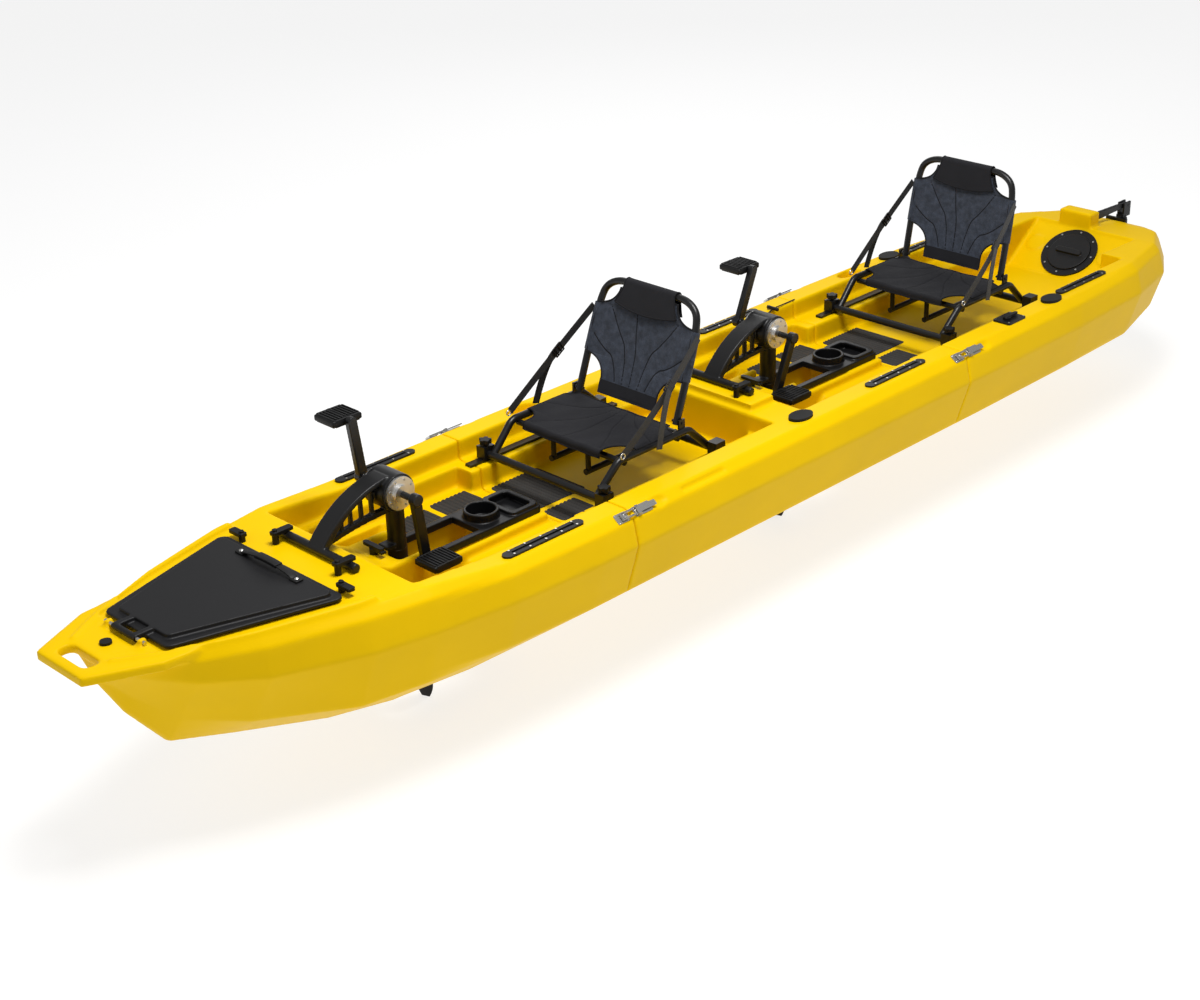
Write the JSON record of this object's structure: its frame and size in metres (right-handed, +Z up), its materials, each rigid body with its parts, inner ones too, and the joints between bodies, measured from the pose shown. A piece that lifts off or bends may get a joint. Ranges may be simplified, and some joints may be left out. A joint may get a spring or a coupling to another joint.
{
  "type": "tandem pedal kayak",
  "caption": "Two-seat sit-on-top kayak in three latched hull modules, with pedal drives, framed mesh chairs, a bow hatch and a stern rudder.",
  "frame": {"origin": "on the flat bottom of the hull, amidships on the centre line", "axes": "+X to the bow, +Y to port, +Z up"},
  "size_m": [4.574, 0.84, 0.9557],
  "materials": {
    "hull": "rotomoulded polyethylene, warm yellow, soft sheen",
    "black_plastic": "moulded black plastic",
    "lid": "thermoformed lid, fine leather grain",
    "rubber": "matt black rubber",
    "pad": "ribbed foam deck pad, dark grey",
    "black_frame": "satin black coated aluminium tube",
    "casting": "satin black coated casting",
    "bright": "turned aluminium",
    "stainless": "stainless steel",
    "steel_shaft": "ground steel",
    "mesh": "charcoal mesh fabric",
    "seat_cloth": "black coated cloth"
  },
  "bodies": {
    "root": {"mid_hull": "hull", "bow_hull": "hull", "stern_hull": "hull", "lid_seal": "rubber", "lid_hinge_pin": "stainless", "seat_rails": "black_frame", "gear_tracks": "black_plastic", "floor_pads": "pad", "latch_plates": "stainless", "steering_plate": "black_plastic", "hatch_ring": "black_plastic", "caps_and_plugs": "rubber", "deck_screws": "stainless", "rudder_bracket": "black_plastic"},
    "lid": {"hatch_lid": "lid", "lid_handle": "rubber"},
    "hatch_latch_port": {"hatch_latch_port": "black_plastic"},
    "hatch_latch_stbd": {"hatch_latch_stbd": "black_plastic"},
    "drive_front": {"drive_casting_front": "casting", "gear_covers_front": "bright"},
    "crank_front": {"crank_front": "casting"},
    "shaft_front": {"drive_shaft_front": "steel_shaft"},
    "propeller_front": {"propeller_front": "black_plastic"},
    "pedal_front_port": {"pedal_front_port": "black_plastic"},
    "bar_latch_front_port": {"bar_latch_front_port": "black_plastic"},
    "pedal_front_stbd": {"pedal_front_stbd": "black_plastic"},
    "bar_latch_front_stbd": {"bar_latch_front_stbd": "black_plastic"},
    "lock_front": {"drive_lock_front": "black_plastic"},
    "tray_front": {"cup_tray_front": "black_plastic"},
    "drive_rear": {"drive_casting_rear": "casting", "gear_covers_rear": "bright"},
    "crank_rear": {"crank_rear": "casting"},
    "shaft_rear": {"drive_shaft_rear": "steel_shaft"},
    "propeller_rear": {"propeller_rear": "black_plastic"},
    "pedal_rear_port": {"pedal_rear_port": "black_plastic"},
    "bar_latch_rear_port": {"bar_latch_rear_port": "black_plastic"},
    "pedal_rear_stbd": {"pedal_rear_stbd": "black_plastic"},
    "bar_latch_rear_stbd": {"bar_latch_rear_stbd": "black_plastic"},
    "lock_rear": {"drive_lock_rear": "black_plastic"},
    "tray_rear": {"cup_tray_rear": "black_plastic"},
    "seat_front": {"seat_frame_front": "black_frame", "seat_sling_front": "seat_cloth"},
    "back_front": {"back_frame_front": "black_frame", "back_sling_front": "mesh"},
    "knob_front_port": {"seat_knob_front_port": "black_plastic"},
    "knob_front_stbd": {"seat_knob_front_stbd": "black_plastic"},
    "seat_rear": {"seat_frame_rear": "black_frame", "seat_sling_rear": "seat_cloth"},
    "back_rear": {"back_frame_rear": "black_frame", "back_sling_rear": "mesh"},
    "knob_rear_port": {"seat_knob_rear_port": "black_plastic"},
    "knob_rear_stbd": {"seat_knob_rear_stbd": "black_plastic"},
    "toggle_front_port": {"toggle_front_port": "stainless"},
    "toggle_front_stbd": {"toggle_front_stbd": "stainless"},
    "toggle_rear_port": {"toggle_rear_port": "stainless"},
    "toggle_rear_stbd": {"toggle_rear_stbd": "stainless"},
    "steering_lever": {"steering_lever": "black_plastic"},
    "rudder_head": {"rudder_head": "black_plastic"},
    "rudder_blade": {"rudder_blade": "black_plastic"},
    "round_hatch": {"round_hatch_cover": "black_plastic"}
  },
  "joints": [
    {"name": "lid_hinge", "type": "hinge", "parent": "root", "child": "lid", "pos_m": [2.066, 0, 0.418], "axis": [0, 1, 0], "range_deg": [0, 100]},
    {"name": "hatch_latch_port_turn", "type": "hinge", "parent": "root", "child": "hatch_latch_port", "pos_m": [1.578, 0.205, 0.402], "axis": [0, 0, 1], "range_deg": [-90, 0]},
    {"name": "hatch_latch_stbd_turn", "type": "hinge", "parent": "root", "child": "hatch_latch_stbd", "pos_m": [1.578, -0.205, 0.402], "axis": [0, 0, 1], "range_deg": [0, 90]},
    {"name": "drive_tilt_front", "type": "hinge", "parent": "root", "child": "drive_front", "pos_m": [1.492, 0, 0.4149], "axis": [0, 1, 0], "range_deg": [0, 22]},
    {"name": "crank_spin_front", "type": "hinge", "parent": "drive_front", "child": "crank_front", "pos_m": [1.25, 0, 0.502], "axis": [0, 1, 0], "continuous": true},
    {"name": "shaft_spin_front", "type": "hinge", "parent": "drive_front", "child": "shaft_front", "pos_m": [1.235, 0, 0.2], "axis": [0, 0, 1], "continuous": true},
    {"name": "propeller_spin_front", "type": "hinge", "parent": "drive_front", "child": "propeller_front", "pos_m": [1.178, 0, -0.07], "axis": [1, 0, 0], "continuous": true},
    {"name": "pedal_spin_front_port", "type": "hinge", "parent": "crank_front", "child": "pedal_front_port", "pos_m": [1.22989, 0.1, 0.33823], "axis": [0, 1, 0], "continuous": true},
    {"name": "bar_latch_turn_front_port", "type": "hinge", "parent": "root", "child": "bar_latch_front_port", "pos_m": [1.528, 0.128, 0.402], "axis": [0, 0, 1], "range_deg": [-90, 0]},
    {"name": "pedal_spin_front_stbd", "type": "hinge", "parent": "crank_front", "child": "pedal_front_stbd", "pos_m": [1.27011, -0.1, 0.66577], "axis": [0, 1, 0], "continuous": true},
    {"name": "bar_latch_turn_front_stbd", "type": "hinge", "parent": "root", "child": "bar_latch_front_stbd", "pos_m": [1.528, -0.128, 0.402], "axis": [0, 0, 1], "range_deg": [0, 90]},
    {"name": "lock_turn_front", "type": "hinge", "parent": "root", "child": "lock_front", "pos_m": [1.314, 0, 0.335], "axis": [0, 0, 1], "range_deg": [0, 90]},
    {"name": "tray_lift_front", "type": "slide", "parent": "root", "child": "tray_front", "axis": [0, 0, 1], "range_m": [0, 0.12]},
    {"name": "drive_tilt_rear", "type": "hinge", "parent": "root", "child": "drive_rear", "pos_m": [-0.008, 0, 0.4149], "axis": [0, 1, 0], "range_deg": [0, 22]},
    {"name": "crank_spin_rear", "type": "hinge", "parent": "drive_rear", "child": "crank_rear", "pos_m": [-0.25, 0, 0.502], "axis": [0, 1, 0], "continuous": true},
    {"name": "shaft_spin_rear", "type": "hinge", "parent": "drive_rear", "child": "shaft_rear", "pos_m": [-0.265, 0, 0.2], "axis": [0, 0, 1], "continuous": true},
    {"name": "propeller_spin_rear", "type": "hinge", "parent": "drive_rear", "child": "propeller_rear", "pos_m": [-0.322, 0, -0.07], "axis": [1, 0, 0], "continuous": true},
    {"name": "pedal_spin_rear_port", "type": "hinge", "parent": "crank_rear", "child": "pedal_rear_port", "pos_m": [-0.18553, 0.1, 0.35012], "axis": [0, 1, 0], "continuous": true},
    {"name": "bar_latch_turn_rear_port", "type": "hinge", "parent": "root", "child": "bar_latch_rear_port", "pos_m": [0.028, 0.128, 0.402], "axis": [0, 0, 1], "range_deg": [-90, 0]},
    {"name": "pedal_spin_rear_stbd", "type": "hinge", "parent": "crank_rear", "child": "pedal_rear_stbd", "pos_m": [-0.31447, -0.1, 0.65388], "axis": [0, 1, 0], "continuous": true},
    {"name": "bar_latch_turn_rear_stbd", "type": "hinge", "parent": "root", "child": "bar_latch_rear_stbd", "pos_m": [0.028, -0.128, 0.402], "axis": [0, 0, 1], "range_deg": [0, 90]},
    {"name": "lock_turn_rear", "type": "hinge", "parent": "root", "child": "lock_rear", "pos_m": [-0.186, 0, 0.335], "axis": [0, 0, 1], "range_deg": [0, 90]},
    {"name": "tray_lift_rear", "type": "slide", "parent": "root", "child": "tray_rear", "axis": [0, 0, 1], "range_m": [0, 0.12]},
    {"name": "seat_slide_front", "type": "slide", "parent": "root", "child": "seat_front", "axis": [1, 0, 0], "range_m": [-0.045, 0.045]},
    {"name": "back_fold_front", "type": "hinge", "parent": "seat_front", "child": "back_front", "pos_m": [0.358, 0, 0.451], "axis": [0, 1, 0], "range_deg": [-12, 90]},
    {"name": "knob_turn_front_port", "type": "hinge", "parent": "seat_front", "child": "knob_front_port", "pos_m": [0.7, 0.24, 0.38], "axis": [0, 0, 1], "continuous": true},
    {"name": "knob_turn_front_stbd", "type": "hinge", "parent": "seat_front", "child": "knob_front_stbd", "pos_m": [0.7, -0.24, 0.38], "axis": [0, 0, 1], "continuous": true},
    {"name": "seat_slide_rear", "type": "slide", "parent": "root", "child": "seat_rear", "axis": [1, 0, 0], "range_m": [-0.045, 0.045]},
    {"name": "back_fold_rear", "type": "hinge", "parent": "seat_rear", "child": "back_rear", "pos_m": [-1.219, 0, 0.451], "axis": [0, 1, 0], "range_deg": [-12, 80]},
    {"name": "knob_turn_rear_port", "type": "hinge", "parent": "seat_rear", "child": "knob_rear_port", "pos_m": [-0.877, 0.24, 0.38], "axis": [0, 0, 1], "continuous": true},
    {"name": "knob_turn_rear_stbd", "type": "hinge", "parent": "seat_rear", "child": "knob_rear_stbd", "pos_m": [-0.877, -0.24, 0.38], "axis": [0, 0, 1], "continuous": true},
    {"name": "toggle_flip_front_port", "type": "hinge", "parent": "root", "child": "toggle_front_port", "pos_m": [0.726, 0.39214, 0.37352], "axis": [0, 0.8, -0.6], "range_deg": [0, 110]},
    {"name": "toggle_flip_front_stbd", "type": "hinge", "parent": "root", "child": "toggle_front_stbd", "pos_m": [0.726, -0.39214, 0.37352], "axis": [0, 0.8, 0.6], "range_deg": [0, 110]},
    {"name": "toggle_flip_rear_port", "type": "hinge", "parent": "root", "child": "toggle_rear_port", "pos_m": [-0.774, 0.39214, 0.37352], "axis": [0, 0.8, -0.6], "range_deg": [0, 110]},
    {"name": "toggle_flip_rear_stbd", "type": "hinge", "parent": "root", "child": "toggle_rear_stbd", "pos_m": [-0.774, -0.39214, 0.37352], "axis": [0, 0.8, 0.6], "range_deg": [0, 110]},
    {"name": "steering_turn", "type": "hinge", "parent": "root", "child": "steering_lever", "pos_m": [-1.058, 0.336, 0.386], "axis": [0, 0, 1], "range_deg": [-30, 30]},
    {"name": "rudder_turn", "type": "hinge", "parent": "root", "child": "rudder_head", "pos_m": [-2.29, 0, 0.318], "axis": [0, 0, 1], "range_deg": [-30, 30]},
    {"name": "rudder_flip", "type": "hinge", "parent": "rudder_head", "child": "rudder_blade", "pos_m": [-2.304, 0, 0.398], "axis": [0, -1, 0], "range_deg": [0, 240]},
    {"name": "round_hatch_turn", "type": "hinge", "parent": "root", "child": "round_hatch", "pos_m": [-1.949, 0, 0.29966], "axis": [0.5878, 0, 0.809], "range_deg": [0, 90]}
  ],
  "couplings": [
    {"joint": "shaft_spin_front", "follows": "crank_spin_front", "ratio": 4},
    {"joint": "propeller_spin_front", "follows": "crank_spin_front", "ratio": 8},
    {"joint": "shaft_spin_rear", "follows": "crank_spin_rear", "ratio": 4},
    {"joint": "propeller_spin_rear", "follows": "crank_spin_rear", "ratio": 8},
    {"joint": "rudder_turn", "follows": "steering_turn", "ratio": 1}
  ]
}
